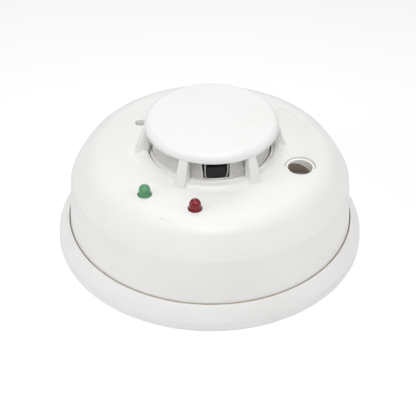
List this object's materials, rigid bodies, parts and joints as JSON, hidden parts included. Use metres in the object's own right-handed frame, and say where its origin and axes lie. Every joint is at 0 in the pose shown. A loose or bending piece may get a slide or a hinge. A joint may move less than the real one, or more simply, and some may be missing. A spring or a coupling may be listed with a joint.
{
  "type": "ceiling heat and smoke detector on twist-lock base",
  "caption": "Round white ceiling detector with a vented chamber under a raised cap, two indicator domes and a sounder port, on a flared twist-lock base with slots.",
  "frame": {"origin": "centre of the base's rear face, on the mounting plane", "axes": "+Z away from the mounting surface towards the cap, -Y towards the two front ribs and the sensor window, +X towards the sounder port"},
  "size_m": [0.142, 0.142, 0.0615],
  "materials": {
    "cover_plastic": "satin moulded, off-white",
    "base_plastic": "satin moulded, off-white",
    "screen_mesh": "fine woven mesh, light grey",
    "black_plastic": "matt black",
    "clear_lens": "clear tinted epoxy",
    "dark_lens": "daylight-blocking epoxy",
    "green_lens": "tinted green epoxy, polished",
    "red_lens": "tinted red epoxy, polished",
    "brass": "stamped strip",
    "steel": "bright zinc plate",
    "lead_wire": "tinned wire",
    "board": "green solder mask",
    "relay_case": "moulded amber case",
    "reed_glass": "green-tinted glass",
    "capacitor_sleeve": "shrink sleeve",
    "resistor_body": "lacquered",
    "bead_epoxy": "dipped epoxy",
    "nylon": "natural nylon"
  },
  "bodies": {
    "base": {"mounting_base": "base_plastic", "base_contacts": "brass", "terminal_clamps": "steel", "terminal_screws": "steel"},
    "head": {"rear_chassis": "base_plastic", "head_contacts": "brass", "circuit_board": "board", "board_screws": "steel", "cover_screws": "steel", "housing_cover": "cover_plastic", "top_cap": "cover_plastic", "chamber_ring": "cover_plastic", "insect_screen": "screen_mesh", "optical_chamber": "black_plastic", "chamber_floor": "black_plastic", "chamber_lid": "black_plastic", "emitter_diode": "clear_lens", "photodiode": "dark_lens", "photodiode_shield": "steel", "thermistor_bead": "bead_epoxy", "thermistor_leads": "lead_wire", "power_led": "green_lens", "alarm_led": "red_lens", "led_spacers": "nylon", "led_leads": "lead_wire", "sounder_horn": "cover_plastic", "sounder_case": "black_plastic", "piezo_disc": "brass", "test_switch": "black_plastic", "alarm_relay": "relay_case", "reed_switch": "reed_glass", "reed_leads": "lead_wire", "capacitors": "capacitor_sleeve", "control_chip": "black_plastic", "signal_chips": "black_plastic", "resistors": "resistor_body"},
    "button": {"test_button": "cover_plastic"}
  },
  "joints": [
    {"name": "head_twist", "type": "hinge", "parent": "base", "child": "head", "pos_m": [0, 0, 0.0068], "axis": [0, 0, 1], "range_deg": [0, 20]},
    {"name": "button_press", "type": "slide", "parent": "head", "child": "button", "axis": [0, 0, -1], "range_m": [0, 0.0008], "stiffness_N_per_m": 600}
  ]
}
